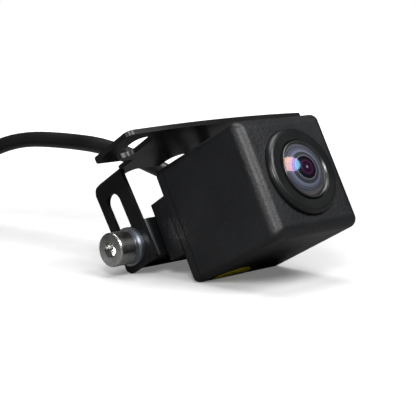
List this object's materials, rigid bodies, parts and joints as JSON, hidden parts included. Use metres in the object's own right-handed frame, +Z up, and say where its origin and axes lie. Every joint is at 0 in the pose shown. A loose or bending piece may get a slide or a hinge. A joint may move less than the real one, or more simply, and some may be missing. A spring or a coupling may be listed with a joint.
{
  "type": "backup camera",
  "caption": "Small sealed cube camera that tilts in a slotted steel bracket on socket cap screws, with a coiled lead and a threaded connector.",
  "frame": {"origin": "under the middle of the camera and its bracket, on the surface they stand on", "axes": "+X to the camera's right as it looks out, +Y to the rear, +Z up; the lens faces -Y and 28.5 degrees up"},
  "size_m": [0.0832, 0.1446, 0.0326],
  "materials": {
    "housing": "satin black with a fine moulded texture",
    "bezel": "smoother satin black",
    "lens_metal": "black anodised",
    "lens_glass": "coated glass",
    "filter_glass": "infrared cut coating",
    "sensor": "iridescent dark",
    "holder": "matt black moulding",
    "board": "green solder mask",
    "chip": "moulded epoxy",
    "header": "ivory moulding",
    "brass": "machined",
    "small_screw": "nickel plated",
    "seal": "soft silicone",
    "hinge": "black powder coat",
    "bracket": "semi-gloss black powder coat",
    "clamp_screw": "bright turned steel",
    "washer": "zinc plated",
    "gland": "moulded rubber",
    "cable": "satin cable jacket",
    "tie": "hook and loop strap",
    "connector": "moulded nylon",
    "insert": "moulded insulator",
    "label": "printed film, plain yellow"
  },
  "bodies": {
    "bracket": {"bracket": "bracket"},
    "carriage": {"cable": "cable", "cable_coil": "cable", "cable_tail": "cable", "coil_tie": "tie", "connector_boot": "gland", "connector_shell": "connector", "connector_insert": "insert", "connector_pins": "brass", "connector_seal": "seal"},
    "camera": {"front_housing": "housing", "rear_cover": "housing", "housing_gasket": "seal", "rear_cover_screws": "small_screw", "lens_bezel": "bezel", "bezel_seal": "seal", "lens_barrel": "lens_metal", "lens_spacer": "lens_metal", "lens_retaining_ring": "lens_metal", "front_lens": "lens_glass", "inner_lenses": "lens_glass", "aperture_stop": "lens_metal", "lens_holder": "holder", "ir_filter": "filter_glass", "image_sensor": "sensor", "sensor_board": "board", "signal_board": "board", "board_connector": "chip", "board_spacers": "brass", "board_screws": "small_screw", "board_chips": "chip", "cable_header": "header", "hinge_block": "hinge", "hinge_block_screws": "small_screw", "cable_gland": "gland", "inspection_label": "label", "cable_lead": "cable"},
    "left_washers": {"left_flat_washer": "washer", "left_spring_washer": "washer"},
    "left_screw": {"left_clamp_screw": "clamp_screw"},
    "right_washers": {"right_flat_washer": "washer", "right_spring_washer": "washer"},
    "right_screw": {"right_clamp_screw": "clamp_screw"},
    "plug_nut": {"connector_nut": "connector"}
  },
  "joints": [
    {"name": "bracket_slide", "type": "slide", "parent": "bracket", "child": "carriage", "axis": [0, 0.5373, 0.8434], "range_m": [0, 0.0014]},
    {"name": "camera_tilt", "type": "hinge", "parent": "carriage", "child": "camera", "pos_m": [0, 0.01311, 0.00576], "axis": [1, 0, 0], "range_deg": [-4, 50], "deforming": ["cable_lead"]},
    {"name": "left_screw_travel", "type": "slide", "parent": "carriage", "child": "left_washers", "axis": [-1, 0, 0], "range_m": [0, 0.0014]},
    {"name": "left_screw_turn", "type": "hinge", "parent": "left_washers", "child": "left_screw", "pos_m": [0, 0.01311, 0.00576], "axis": [-1, 0, 0], "range_deg": [0, 722]},
    {"name": "right_screw_travel", "type": "slide", "parent": "carriage", "child": "right_washers", "axis": [1, 0, 0], "range_m": [0, 0.0014]},
    {"name": "right_screw_turn", "type": "hinge", "parent": "right_washers", "child": "right_screw", "pos_m": [0, 0.01311, 0.00576], "axis": [1, 0, 0], "range_deg": [0, 722]},
    {"name": "plug_nut_turn", "type": "hinge", "parent": "carriage", "child": "plug_nut", "pos_m": [-0.051, 0.04, 0.0064], "axis": [0, -1, 0], "continuous": true}
  ],
  "couplings": [
    {"joint": "left_screw_turn", "follows": "left_screw_travel", "rad_per_m": 8976},
    {"joint": "right_screw_turn", "follows": "right_screw_travel", "rad_per_m": 8976}
  ]
}
